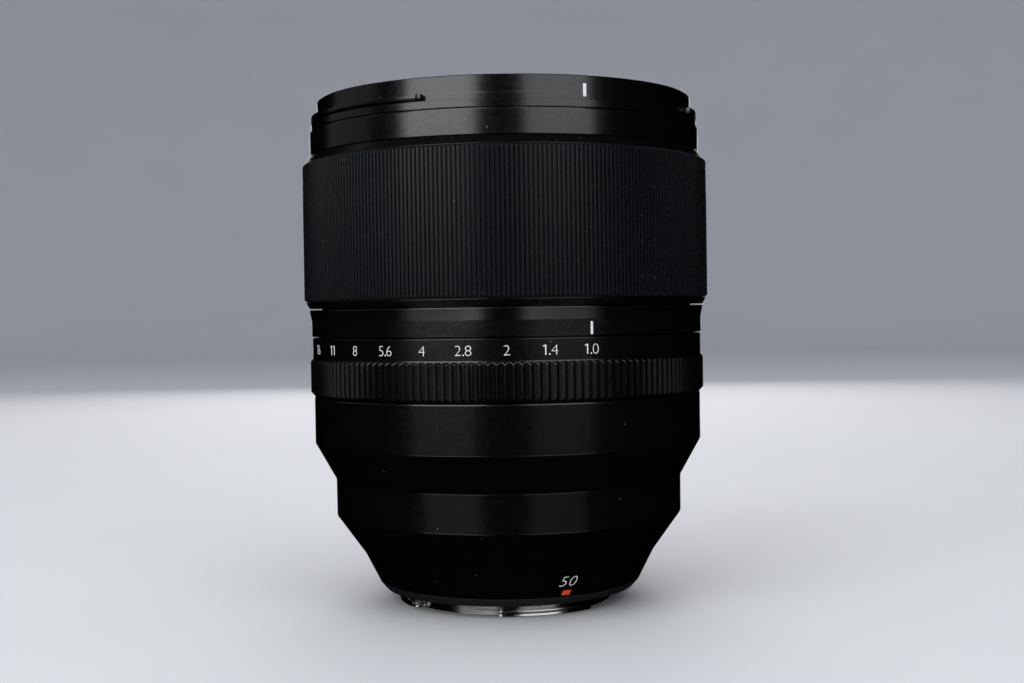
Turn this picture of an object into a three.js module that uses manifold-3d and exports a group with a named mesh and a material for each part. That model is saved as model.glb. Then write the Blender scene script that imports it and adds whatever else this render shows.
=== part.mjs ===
// A fast 50 mm prime lens for a mirrorless camera, built as the assembly it is on the bench.
// Millimetres, +Z up. The lens stands on its rear mount: Z = 0 is the rear end of the bayonet,
// the optical axis is the Z axis and the index marks face -Y.
// Heights inside the assembly group are measured from the mount's flange plane, towards the front.

import * as THREE from 'three';
import { mergeVertices } from 'three/addons/utils/BufferGeometryUtils.js';
import Module from 'manifold-3d';

const wasm = await Module();
wasm.setup();

// ---------------------------------------------------------------- driving dimensions

const FLANGE_HEIGHT = 3.3;          // flange plane above the bayonet's rear end
const LENGTH = 103.5;               // flange plane to front rim
const GRIP_RADIUS = 43.5;           // over the focus grip, the widest part
const THREAD_RADIUS = 38.5;         // 77 mm filter thread
const STOP_RADIUS = 18;             // aperture stop, wide open
const THROAT_RADIUS = 22;           // outside of the bayonet barrel

const OUTER_SIDES = 40;             // facets round the outer rings
const INNER_SIDES = 24;             // facets round the pieces inside
const GLASS_SIDES = 24;
const RUNNING_GAP = 0.4;            // radial room where one ring turns in another
const SEAT_GAP = 0.1;               // room between seated, coaxial pieces
const JOIN_GAP = 0.3;               // room round a piece that sits in a cut pocket

const DEG = Math.PI / 180;
const INDEX_DIRECTION = -90 * DEG;  // the index marks face -Y

// The focus train: the cam ring lifts the carriage by FOCUS_TRAVEL as it turns by FOCUS_TURN.
const FOCUS_TRAVEL = 5;
const FOCUS_TURN = 60;              // degrees of cam ring for the whole travel
const GEAR_MODULE = 0.6;
const CAM_TEETH = 94;
const WHEEL_TEETH = 20;
const LAY_PINION_TEETH = 11;
const MOTOR_PINION_TEETH = 9;

// The iris: nine blades on fixed pivots, turned by one drive ring.
const BLADES = 9;
const BLADE_PIVOT_RADIUS = 28.6;
const BLADE_ARM = 3.4;              // pivot to drive pin
const BLADE_TURN = 34.5;            // degrees, wide open to smallest stop
const BLADE_LAYER = 0.28;
const BLADE_THICKNESS = 0.15;
const IRIS_MODULE = 0.4;
const IRIS_RING_TEETH = 168;
const IRIS_PINION_TEETH = 7;

// Clicks of the aperture ring, in thirds of a stop.
const STOP_STEP = 11.3;             // degrees from one full stop to the next
const FULL_STOPS = 8;               // from 1.0 to 16

// ---------------------------------------------------------------- colours

const LOOKS = {
  black_metal: { color: 0x16171a, roughness: 0.45, metalness: 0.6 },
  inner_black: { color: 0x0d0d0e, roughness: 0.9, metalness: 0.1 },
  rubber: { color: 0x14161a, roughness: 0.8, metalness: 0 },
  mount_metal: { color: 0xc9c9c6, roughness: 0.2, metalness: 1 },
  steel: { color: 0xa9abad, roughness: 0.35, metalness: 1 },
  blade_steel: { color: 0x1b1b1d, roughness: 0.5, metalness: 0.8 },
  brass: { color: 0xc2a35a, roughness: 0.35, metalness: 1 },
  plastic: { color: 0x0f0f10, roughness: 0.6, metalness: 0 },
  gear_plastic: { color: 0xd9d6cc, roughness: 0.5, metalness: 0 },
  board: { color: 0x1c5a34, roughness: 0.5, metalness: 0 },
  glass: { color: 0xdfe8ea, roughness: 0.02, metalness: 0 },
};

// ---------------------------------------------------------------- shape helpers

const lens = new THREE.Group();
const assembly = new THREE.Group();
assembly.position.z = FLANGE_HEIGHT;
lens.add(assembly);

function add(name, geometry, look, place = { x: 0, y: 0, z: 0 }) {
  const mesh = new THREE.Mesh(geometry, new THREE.MeshStandardMaterial(LOOKS[look]));
  mesh.name = name;
  mesh.position.set(place.x, place.y, place.z);
  assembly.add(mesh);
}

// A point at a radius and an angle in degrees from the index line, positive anticlockwise
// when the lens is seen from the front.
function polar(radius, degrees) {
  const angle = INDEX_DIRECTION + degrees * DEG;
  return { x: radius * Math.cos(angle), y: radius * Math.sin(angle), z: 0 };
}

// Six times a closed mesh's volume is the sum of its triangles' triple products: a negative
// sum means that the faces point in, and the winding is turned round.
function facingOut(source) {
  const bare = new THREE.BufferGeometry();
  bare.setAttribute('position', source.getAttribute('position').clone());
  if (source.index) bare.setIndex(source.index.clone());
  const geometry = mergeVertices(bare);
  const index = geometry.index.array;
  const corners = [new THREE.Vector3(), new THREE.Vector3(), new THREE.Vector3()];
  const kept = [];
  let volume = 0;
  for (let i = 0; i < index.length; i += 3) {
    const triangle = [index[i], index[i + 1], index[i + 2]];
    if (new Set(triangle).size < 3) continue;
    corners.forEach((c, k) => c.fromBufferAttribute(geometry.getAttribute('position'), triangle[k]));
    volume += corners[0].dot(corners[1].clone().cross(corners[2]));
    kept.push(triangle);
  }
  geometry.setIndex(kept.flatMap(([a, b, c]) => (volume < 0 ? [a, c, b] : [a, b, c])));
  return geometry;
}

function toSolid(geometry) {
  const closed = facingOut(geometry);
  return new wasm.Manifold(new wasm.Mesh({
    numProp: 3,
    vertProperties: new Float32Array(closed.getAttribute('position').array),
    triVerts: new Uint32Array(closed.index.array),
  }));
}

function toGeometry(solid) {
  const mesh = solid.getMesh();
  const geometry = new THREE.BufferGeometry();
  geometry.setAttribute('position', new THREE.BufferAttribute(mesh.vertProperties, 3));
  geometry.setIndex(new THREE.BufferAttribute(mesh.triVerts, 1));
  return geometry;
}

// Joins the first list and cuts the second from it.
function carve(joined, cut = []) {
  const whole = joined.map(toSolid).reduce((a, b) => a.add(b));
  return toGeometry(cut.map(toSolid).reduce((a, b) => a.subtract(b), whole));
}

// Turns a closed [radius, height] outline about the optical axis.
function turned(outline, sides = INNER_SIDES) {
  const points = outline.map(([radius, height]) => new THREE.Vector2(radius, height));
  if (outline[0][0] > 0) points.push(points[0].clone());
  return facingOut(new THREE.LatheGeometry(points, sides).rotateX(Math.PI / 2));
}

function tube(inner, outer, bottom, top, sides = INNER_SIDES) {
  return turned([[inner, bottom], [outer, bottom], [outer, top], [inner, top]], sides);
}

// A block bent round the optical axis, from one angle to another in degrees from the index.
// rise lifts its far end, which makes a helical block.
function arcBlock({ inner, outer, from, to, bottom, top, rise = 0, step = 9 }) {
  const steps = Math.max(1, Math.ceil((to - from) / step));
  const geometry = new THREE.BoxGeometry(1, 1, 1, steps, 1, 1);
  const position = geometry.getAttribute('position');
  for (let i = 0; i < position.count; i += 1) {
    const along = position.getX(i) + 0.5;
    const p = polar(position.getY(i) < 0 ? inner : outer, from + (to - from) * along);
    const height = (position.getZ(i) < 0 ? bottom : top) + rise * along;
    position.setXYZ(i, p.x, p.y, height);
  }
  return facingOut(geometry);
}

// A round post parallel to the optical axis.
function post(place, radius, bottom, top, sides = 12) {
  return new THREE.CylinderGeometry(radius, radius, top - bottom, sides)
    .rotateX(Math.PI / 2)
    .translate(place.x, place.y, (bottom + top) / 2);
}

// A round pin that points away from the optical axis.
function radialPin(degrees, radius, inner, outer, height, sides = 12) {
  return new THREE.CylinderGeometry(radius, radius, outer - inner, sides)
    .rotateZ(-Math.PI / 2)
    .translate((inner + outer) / 2, 0, 0)
    .rotateZ(INDEX_DIRECTION + degrees * DEG)
    .translate(0, 0, height);
}

// Gear teeth with straight flanks. The first tooth points along phase, in radians.
const TOOTH_TIP = 0.85;             // addendum and dedendum, in modules
const TOOTH_ROOT = 1.2;
const TIP_WIDTH = 0.2;              // tooth width at tip and root, as a part of the pitch
const ROOT_WIDTH = 0.56;
const MESH_PLAY = 0.06;             // added to a gear pair's centre distance

const pitchRadius = (teeth, module) => teeth * module / 2;
const meshDistance = (a, b, module) => pitchRadius(a, module) + pitchRadius(b, module) + MESH_PLAY;

function toothPoints(teeth, module, phase, first = 0, count = teeth) {
  const radius = pitchRadius(teeth, module);
  const pitch = 2 * Math.PI / teeth;
  const points = [];
  for (let k = first; k < first + count; k += 1) {
    for (const [reach, width] of [[-TOOTH_ROOT, -ROOT_WIDTH], [TOOTH_TIP, -TIP_WIDTH],
      [TOOTH_TIP, TIP_WIDTH], [-TOOTH_ROOT, ROOT_WIDTH]]) {
      const r = radius + reach * module;
      const a = phase + (k + width / 2) * pitch;
      points.push(new THREE.Vector2(r * Math.cos(a), r * Math.sin(a)));
    }
  }
  return points;
}

function gearDisc(teeth, module, phase, bore, bottom, top) {
  const shape = new THREE.Shape(toothPoints(teeth, module, phase));
  if (bore > 0) shape.holes.push(new THREE.Path().absarc(0, 0, bore, 0, 2 * Math.PI, true));
  return new THREE.ExtrudeGeometry(shape, { depth: top - bottom, bevelEnabled: false, curveSegments: 6 })
    .translate(0, 0, bottom);
}

// A toothed arc on the outside of a ring. A gap between teeth faces the mating gear, which
// stands at meshDegrees; before and after count the teeth on either side of that gap.
function gearSector({ teeth, module, inner, meshDegrees, before, after, bottom, top }) {
  const pitch = 2 * Math.PI / teeth;
  const phase = INDEX_DIRECTION + meshDegrees * DEG + pitch / 2;
  const points = toothPoints(teeth, module, phase, -before, before + after);
  const sweep = (before + after) * pitch;
  const start = phase - (before + 0.5) * pitch;
  const steps = Math.max(2, Math.ceil(sweep / (12 * DEG)));
  for (let i = steps; i >= 0; i -= 1) {
    const a = start + sweep * i / steps;
    points.push(new THREE.Vector2(inner * Math.cos(a), inner * Math.sin(a)));
  }
  return new THREE.ExtrudeGeometry(new THREE.Shape(points), { depth: top - bottom, bevelEnabled: false })
    .translate(0, 0, bottom);
}

// ---------------------------------------------------------------- optics

// Each element: height of its front vertex, centre thickness, radii of curvature (positive
// bulges forward, 0 is flat), rim radius, and the clear radius of a deeply hollowed rear.
const ELEMENTS = [
  { front: 95.8, thick: 9.0, r1: 75, r2: 400, rim: 31.5 },
  { front: 86.2, thick: 8.6, r1: 52, r2: 120, rim: 28.5 },
  { front: 76.9, thick: 9.5, r1: 62, r2: -200, rim: 25.5 },
  { front: 67.3, thick: 2.2, r1: -200, r2: 34, rim: 25.5, clear: 22.5 },
  { front: 39.5, thick: 1.8, r1: -42, r2: 60, rim: 20 },
  { front: 37.6, thick: 9.0, r1: 60, r2: -48, rim: 20 },
  { front: 28.0, thick: 6.5, r1: 50, r2: -300, rim: 19.5 },
  { front: 20.2, thick: 1.8, r1: -150, r2: 42, rim: 18.5 },
  { front: 13.0, thick: 5.4, r1: 60, r2: -90, rim: 17.5 },
  { front: 7.5, thick: 1.4, r1: -90, r2: 80, rim: 17.5 },
  { front: 4.7, thick: 3.0, r1: 200, r2: -120, rim: 17 },
  { front: 0.2, thick: 1.2, r1: -60, r2: -200, rim: 16.5 },
];

function sag(radius, curvature) {
  if (curvature === 0) return 0;
  const bulge = Math.abs(curvature);
  return Math.sign(curvature) * (bulge - Math.sqrt(bulge * bulge - radius * radius));
}

// The outline runs down the front surface from the axis, along the rim and back to the axis.
function elementOutline({ front, thick, r1, r2, rim, clear = rim }) {
  const steps = [0, 0.4, 0.75, 1];
  const outline = steps.map((t) => [t * rim, front - sag(t * rim, r1)]);
  const rearEdge = front - thick - sag(clear, r2);
  if (clear < rim) outline.push([rim, rearEdge]);
  for (const t of [...steps].reverse()) outline.push([t * clear, front - thick - sag(t * clear, r2)]);
  return outline;
}

function buildElements() {
  ELEMENTS.forEach((element, i) => {
    const number = String(i + 1).padStart(2, '0');
    add(`lens_element_${number}`, turned(elementOutline(element), GLASS_SIDES), 'glass');
  });
}

// A coaxial ledge or wall stands SEAT_GAP off the glass that it holds.
function buildCells() {
  add('front_cell', turned([
    [22.8, 55.85], [27.8, 55.85], [27.8, 72.5], [30.8, 72.5], [30.8, 83], [37.7, 83],
    [37.7, 84.6], [33.8, 84.6], [33.8, 91], [31.65, 91], [31.65, 85.4], [28.65, 85.4],
    [28.65, 74.05], [25.65, 74.05], [25.65, 56.45], [22.8, 56.45],
  ]), 'inner_black');
  add('front_retaining_ring', turned([[30.2, 89.65], [31.5, 89.1], [31.5, 91], [30.6, 91]]), 'inner_black');
  add('rear_cell', turned([
    [15.6, -1.2], [18.4, -1.2], [18.4, 1.2], [20.15, 1.2], [20.15, 9.5], [22.2, 9.5],
    [22.2, 11], [20.15, 11], [20.15, 13.3], [17.7, 13.3], [17.7, 4.05], [17.2, 4.05],
    [17.2, 2.8], [16.7, 2.8], [16.7, -0.45], [15.6, -0.45],
  ]), 'inner_black');
}

// ---------------------------------------------------------------- outer barrels

const NECK_RADIUS = 39.8;           // the two control rings turn on this neck
const BORE_RADIUS = 38;             // inside of the main barrel
const RING_BORE = NECK_RADIUS + RUNNING_GAP;
const GRIP_SEAT_RADIUS = 42.5;

const BARREL_SENSOR = 150;          // where the focus sensor looks out, degrees from the index
const SENSOR_BOTTOM = 86.4;
const SENSOR_TOP = 89.8;
const CLICK_AT = 30;
const CLICK_HEIGHT = 45;
const BALL_RADIUS = 0.75;

function buildFront() {
  // The hood's bayonet: two raised lugs on a plain wall, with a stop notch near one end of each.
  const wallRadius = 40.23;
  const lugRadius = 41.6;
  const notchFloor = 40.8;
  const shoulder = 98.7;
  const lugTop = 100.4;
  const lug = (from, to) => arcBlock({
    inner: wallRadius - 0.3, outer: lugRadius, from, to, bottom: shoulder - 0.2, top: lugTop,
  });
  const notch = (from, to) => arcBlock({
    inner: notchFloor, outer: lugRadius + 0.4, from, to, bottom: shoulder, top: lugTop + 0.2,
  });
  const rim = turned([
    [THREAD_RADIUS, 97.5], [41.5, 97.5], [41.5, shoulder], [wallRadius, shoulder],
    [wallRadius, LENGTH - 0.25], [40, LENGTH], [THREAD_RADIUS + 0.4, LENGTH], [THREAD_RADIUS, LENGTH - 0.4],
  ], OUTER_SIDES);
  add('front_rim', carve(
    [rim, lug(45.6, 135), lug(-135, -44.7)],
    [notch(-49.5, -47.8), notch(47.4, 48.6)],
  ), 'black_metal');
  add('trim_ring', turned([
    [31.6, 91.3], [32.8, 91.3], [34, 97.4], [38.1, 97.4], [38.1, 98.6], [33.2, 98.6],
  ], OUTER_SIDES), 'inner_black');
  add('front_barrel', turned([
    [36.2, 95.2], [38, 95.2], [38, 92.1], [41.8, 92.1], [41.87, 97.2], [36.2, 97.2],
  ], OUTER_SIDES), 'black_metal');
}

function buildMainBarrel() {
  const barrel = turned([
    [BORE_RADIUS, 36.6], [39.3, 36.6], [39.3, 41], [NECK_RADIUS, 41.3], [NECK_RADIUS, 49.2],
    [38.95, 49.4], [38.95, 53.7], [41.98, 53.7], [41.98, 56.87], [42.45, 59.3],
    [NECK_RADIUS, 59.3], [NECK_RADIUS, 85.4], [38.9, 85.6], [38.9, 91.4], [37.7, 91.4],
    [37.7, 94.8], [36.4, 94.8], [36.4, 91], [BORE_RADIUS, 90.8],
  ], OUTER_SIDES);
  const window = arcBlock({
    inner: 36,
    outer: 41,
    from: BARREL_SENSOR - 5.5,
    to: BARREL_SENSOR + 5.5,
    bottom: SENSOR_BOTTOM - 0.4,
    top: SENSOR_TOP + 0.4,
    step: 11,
  });
  const clickHole = radialPin(CLICK_AT, BALL_RADIUS + JOIN_GAP, 37, 41, CLICK_HEIGHT, 10);
  add('main_barrel', carve([barrel], [window, clickHole]), 'black_metal');
  add('focus_sensor', arcBlock({
    inner: 36.8,
    outer: 38.6,
    from: BARREL_SENSOR - 5,
    to: BARREL_SENSOR + 5,
    bottom: SENSOR_BOTTOM,
    top: SENSOR_TOP,
    step: 10,
  }), 'plastic');
  const ball = polar(39.1, CLICK_AT);
  add('click_ball', new THREE.SphereGeometry(BALL_RADIUS, 10, 6), 'steel', { ...ball, z: CLICK_HEIGHT });
  add('click_spring', arcBlock({
    inner: 37.3, outer: 37.6, from: CLICK_AT - 9, to: CLICK_AT + 9,
    bottom: CLICK_HEIGHT - BALL_RADIUS, top: CLICK_HEIGHT + BALL_RADIUS,
  }), 'steel');
  add('aperture_code_strip', arcBlock({
    inner: 39, outer: 39.15, from: 81, to: 207, bottom: 50, top: 52.4,
  }), 'brass');
}

const SCREW_RADIUS = 24.3;          // where the mount screws stand
const SCREW_ANGLES = [45, 135, 225, 315];
const SHANK_RADIUS = 0.7;
const HEAD_RADIUS = 1.45;

function buildRearBarrel() {
  const shell = turned([
    [22.8, 1.3], [28.4, 1.3], [31.4, 7.2], [37.25, 15.4], [37.3, 23.15], [41.65, 31],
    [41.65, 40.87], [39.6, 40.87], [39.6, 31.6], [35.2, 23.8], [35.2, 16.3], [29.4, 8.3],
    [27.2, 3.4], [22.8, 3.4],
  ], OUTER_SIDES);
  const holes = SCREW_ANGLES.map((at) => post(polar(SCREW_RADIUS, at), SHANK_RADIUS + JOIN_GAP, 0, 4, 8));
  add('rear_barrel', carve([shell], holes), 'black_metal');
}

// ---------------------------------------------------------------- control rings

function buildFocusRing() {
  add('focus_ring', turned([
    [RING_BORE, 59.65], [GRIP_SEAT_RADIUS, 59.65], [43.4, 60.95], [GRIP_SEAT_RADIUS, 60.95],
    [GRIP_SEAT_RADIUS, 90.3], [43.4, 90.3], [41.9, 91.85], [RING_BORE, 91.85],
  ], OUTER_SIDES), 'black_metal');
  add('focus_grip', tube(GRIP_SEAT_RADIUS + SEAT_GAP, GRIP_RADIUS, 61.1, 90.15, OUTER_SIDES), 'rubber');
  const windows = 30;
  const pitch = 360 / windows;
  const cuts = [];
  for (let k = 0; k < windows; k += 1) {
    cuts.push(arcBlock({
      inner: 39, outer: 40.5, from: k * pitch, to: (k + 0.5) * pitch, bottom: 86, top: 88.4,
    }));
  }
  const comb = tube(39.35, RING_BORE - SEAT_GAP, 86.6, 89.8, OUTER_SIDES);
  add('focus_comb', carve([comb], cuts), 'plastic');
}

const LOCK_AT = 150;                // the lock button, degrees from the 1.0 mark
const LOCK_WIDTH = 5;
const LOCK_HEIGHT = 3.4;
const LOCK_LEVEL = 45.5;

// A block with round corners whose face points away from the optical axis.
function lockBlock(width, height, inner, outer) {
  const round = height * 0.35;
  const shape = new THREE.Shape();
  for (const [side, end, turn] of [[1, 1, 0], [-1, 1, 90], [-1, -1, 180], [1, -1, 270]]) {
    const x = side * (width / 2 - round);
    const y = end * (height / 2 - round);
    shape.absarc(x, y, round, turn * DEG, (turn + 90) * DEG, false);
  }
  return new THREE.ExtrudeGeometry(shape, { depth: outer - inner, bevelEnabled: false, curveSegments: 3 })
    .rotateX(Math.PI / 2)
    .rotateZ(LOCK_AT * DEG)
    .translate(polar(inner, LOCK_AT).x, polar(inner, LOCK_AT).y, LOCK_LEVEL);
}

function buildApertureRing() {
  const ring = turned([
    [RING_BORE, 41.2], [41.7, 41.2], [42.4, 41.95], [42.4, 49.1], [41.87, 49.25], [41.87, 53.4],
    [RING_BORE, 53.4],
  ], OUTER_SIDES);
  const clicks = [];
  const third = STOP_STEP / 3;
  for (let k = 0; k <= 3 * FULL_STOPS; k += 1) {
    const at = CLICK_AT - k * third;
    clicks.push(arcBlock({
      inner: NECK_RADIUS,
      outer: RING_BORE + 0.4,
      from: at - 0.6,
      to: at + 0.6,
      bottom: CLICK_HEIGHT - 0.8,
      top: CLICK_HEIGHT + 0.8,
    }));
  }
  const pocket = lockBlock(LOCK_WIDTH + 2 * JOIN_GAP, LOCK_HEIGHT + 2 * JOIN_GAP, 39, 44);
  add('aperture_ring', carve([ring], [...clicks, pocket]), 'black_metal');
  add('aperture_lock_button', lockBlock(LOCK_WIDTH, LOCK_HEIGHT, 40.75, 42.85), 'plastic');
  add('aperture_brush', arcBlock({
    inner: 39.4, outer: 40.05, from: 86, to: 94, bottom: 50.2, top: 52.2,
  }), 'brass');
}

// ---------------------------------------------------------------- mount

const LUGS = [[-28.4, 21], [-123, -78.5], [80, 126]];

function buildMount() {
  const body = turned([
    [20.6, -FLANGE_HEIGHT], [THROAT_RADIUS, -FLANGE_HEIGHT], [THROAT_RADIUS, 0], [26.5, 0],
    [26.5, 1.15], [20.6, 1.15],
  ], OUTER_SIDES);
  const lugs = LUGS.map(([from, to]) => arcBlock({
    inner: 21.5, outer: 24, from, to, bottom: -FLANGE_HEIGHT, top: -2.1,
  }));
  const seats = SCREW_ANGLES.map((at) => post(polar(SCREW_RADIUS, at), HEAD_RADIUS + JOIN_GAP, -1, 0.6));
  const holes = SCREW_ANGLES.map((at) => post(polar(SCREW_RADIUS, at), SHANK_RADIUS + JOIN_GAP, 0, 2, 8));
  const lockSlot = arcBlock({ inner: 22.6, outer: 25, from: 56, to: 64, bottom: -1, top: 0.8 });
  const slit = arcBlock({ inner: 22.3, outer: 25, from: -82.3, to: -80.1, bottom: -4, top: -2 });
  add('bayonet_mount', carve([body, ...lugs], [...seats, ...holes, lockSlot, slit]), 'mount_metal');

  SCREW_ANGLES.forEach((at, i) => {
    const place = polar(SCREW_RADIUS, at);
    const head = post(place, HEAD_RADIUS, 0.05, 0.5);
    const shank = post(place, SHANK_RADIUS, 0.4, 3.2, 8);
    add(`mount_screw_${i + 1}`, carve([head, shank]), 'steel');
  });

  const seal = [[26.7, -0.2], [26.95, -0.2], [28.35, 1.05], [26.7, 1.15]];
  add('mount_seal', turned(seal, OUTER_SIDES), 'rubber');

  const contactFrom = 144;
  const contactTo = 216;
  const shroud = turned([
    [16.9, -2.6], [20.3, -2.6], [20.3, 0.9], [18.75, 0.9], [18.75, -1.5], [16.9, -2.1],
  ]);
  const pocket = arcBlock({ inner: 16, outer: 21, from: contactFrom, to: contactTo, bottom: -4, top: 2 });
  add('rear_shroud', carve([shroud], [pocket]), 'plastic');
  const block = arcBlock({
    inner: 18.8, outer: 20.2, from: contactFrom + 1, to: contactTo - 1, bottom: -3, top: 0.9,
  });
  const face = arcBlock({
    inner: 17.2, outer: 19.2, from: contactFrom + 1, to: contactTo - 1, bottom: -3, top: -1.6,
  });
  add('contact_block', carve([block, face]), 'plastic');
}

// ---------------------------------------------------------------- focus drive

const FOLLOWER_ANGLES = [20, 140, 260];
const FOLLOWER_RADIUS = 1.2;
const FOLLOWER_HEIGHT = 38;
const GEAR_AT = 60;                 // the lay gear, degrees from the index
const CAM_GEAR_BOTTOM = 32;
const CAM_GEAR_TOP = 33.8;
const WHEEL_BOTTOM = 30.1;
const WHEEL_TOP = 31.3;
const MOTOR_RADIUS = 5;
const MOTOR_DISTANCE = 32.4;        // motor axis from the optical axis
const AXLE_RADIUS = 0.6;

function buildFocusDrive() {
  const layDistance = meshDistance(CAM_TEETH, LAY_PINION_TEETH, GEAR_MODULE);
  const layPlace = polar(layDistance, GEAR_AT);
  const motorMesh = meshDistance(WHEEL_TEETH, MOTOR_PINION_TEETH, GEAR_MODULE);
  const motorOffset = Math.acos(
    (layDistance ** 2 + MOTOR_DISTANCE ** 2 - motorMesh ** 2) / (2 * layDistance * MOTOR_DISTANCE),
  ) / DEG;
  const motorPlace = polar(MOTOR_DISTANCE, GEAR_AT + motorOffset);

  // The guide tube: three straight slots keep the carriage from turning.
  const tubeInner = 22.6;
  const tubeOuter = 24.3;
  const slotHalf = (FOLLOWER_RADIUS + JOIN_GAP) / tubeOuter / DEG;
  const slotRoom = FOLLOWER_RADIUS + RUNNING_GAP;
  const guide = turned([
    [tubeInner, 3.7], [26.7, 3.7], [26.7, 5.2], [tubeOuter, 5.2], [tubeOuter, 50.3], [tubeInner, 50.3],
  ]);
  const straightSlots = FOLLOWER_ANGLES.map((at) => arcBlock({
    inner: 22, outer: 25, from: at - slotHalf, to: at + slotHalf,
    bottom: FOLLOWER_HEIGHT - slotRoom, top: FOLLOWER_HEIGHT + FOCUS_TRAVEL + slotRoom,
  }));
  const shelf = arcBlock({
    inner: 23.6, outer: 34.5, from: GEAR_AT - 8, to: GEAR_AT + 8, bottom: 28.6, top: 29.7,
  });
  const axle = post(layPlace, AXLE_RADIUS, 29.2, 35, 8);
  add('guide_tube', carve([guide, shelf, axle], straightSlots), 'inner_black');

  // The cam ring: a follower that keeps its angle runs along the helical slot as the ring turns.
  const slope = FOCUS_TRAVEL / FOCUS_TURN;
  const endRoom = slotRoom / 25 / DEG;
  const halfSlot = FOLLOWER_RADIUS + RUNNING_GAP;
  const helicalSlots = FOLLOWER_ANGLES.map((at) => arcBlock({
    inner: 24, outer: 28, from: at - FOCUS_TURN - endRoom, to: at + endRoom,
    bottom: FOLLOWER_HEIGHT + slope * (FOCUS_TURN + endRoom) - halfSlot,
    top: FOLLOWER_HEIGHT + slope * (FOCUS_TURN + endRoom) + halfSlot,
    rise: -slope * (FOCUS_TURN + 2 * endRoom),
  }));
  const sector = gearSector({
    teeth: CAM_TEETH, module: GEAR_MODULE, inner: 25.6, meshDegrees: GEAR_AT,
    before: 18, after: 3, bottom: CAM_GEAR_BOTTOM, top: CAM_GEAR_TOP,
  });
  add('cam_ring', carve([tube(25, 26.7, 31.7, 46.5), sector], helicalSlots), 'brass');

  const carriage = turned([
    [17.5, 13.75], [22, 13.75], [22, 45.2], [20.15, 45.2], [20.15, 32.8], [19.65, 32.8],
    [19.65, 22], [18.65, 22], [18.65, 14.02], [17.5, 14.02],
  ]);
  const followers = FOLLOWER_ANGLES.map((at) => (
    radialPin(at, FOLLOWER_RADIUS, 21.2, 26.4, FOLLOWER_HEIGHT)
  ));
  add('focus_carriage', carve([carriage, ...followers]), 'inner_black');

  // The lay gear: its wheel meets the motor's pinion, and its own pinion meets the cam ring.
  const towardAxis = INDEX_DIRECTION + (GEAR_AT + 180) * DEG;
  const towardMotor = Math.atan2(motorPlace.y - layPlace.y, motorPlace.x - layPlace.x);
  const bore = AXLE_RADIUS + JOIN_GAP;
  const layPinion = gearDisc(
    LAY_PINION_TEETH, GEAR_MODULE, towardAxis, bore, WHEEL_TOP - 0.2, CAM_GEAR_TOP + 0.4,
  );
  const wheel = gearDisc(WHEEL_TEETH, GEAR_MODULE, towardMotor, bore, WHEEL_BOTTOM, WHEEL_TOP);
  add('lay_gear', carve([wheel, layPinion]), 'gear_plastic', layPlace);
  const halfPitch = Math.PI / MOTOR_PINION_TEETH;
  const pinion = gearDisc(
    MOTOR_PINION_TEETH, GEAR_MODULE, towardMotor + Math.PI + halfPitch, 0, WHEEL_BOTTOM, WHEEL_TOP,
  );
  const shaft = post({ x: 0, y: 0 }, AXLE_RADIUS, WHEEL_TOP - 0.2, 35.2, 8);
  add('focus_pinion', carve([pinion, shaft]), 'brass', motorPlace);
  const can = post({ x: 0, y: 0 }, MOTOR_RADIUS, 36.2, 49.4, 20);
  const cap = post({ x: 0, y: 0 }, MOTOR_RADIUS - 1.4, 35.6, 50.2, 16);
  add('focus_motor', carve([can, cap]), 'steel', motorPlace);
}

// ---------------------------------------------------------------- iris

const IRIS_BASE = 50.6;
const FIRST_BLADE = 51.45;
const DRIVE_RING_BOTTOM = 54.2;
const DRIVE_RING_TOP = 54.9;
const BLADE_PIN_RADIUS = 0.5;
const IRIS_MOTOR_AT = 220;

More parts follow.
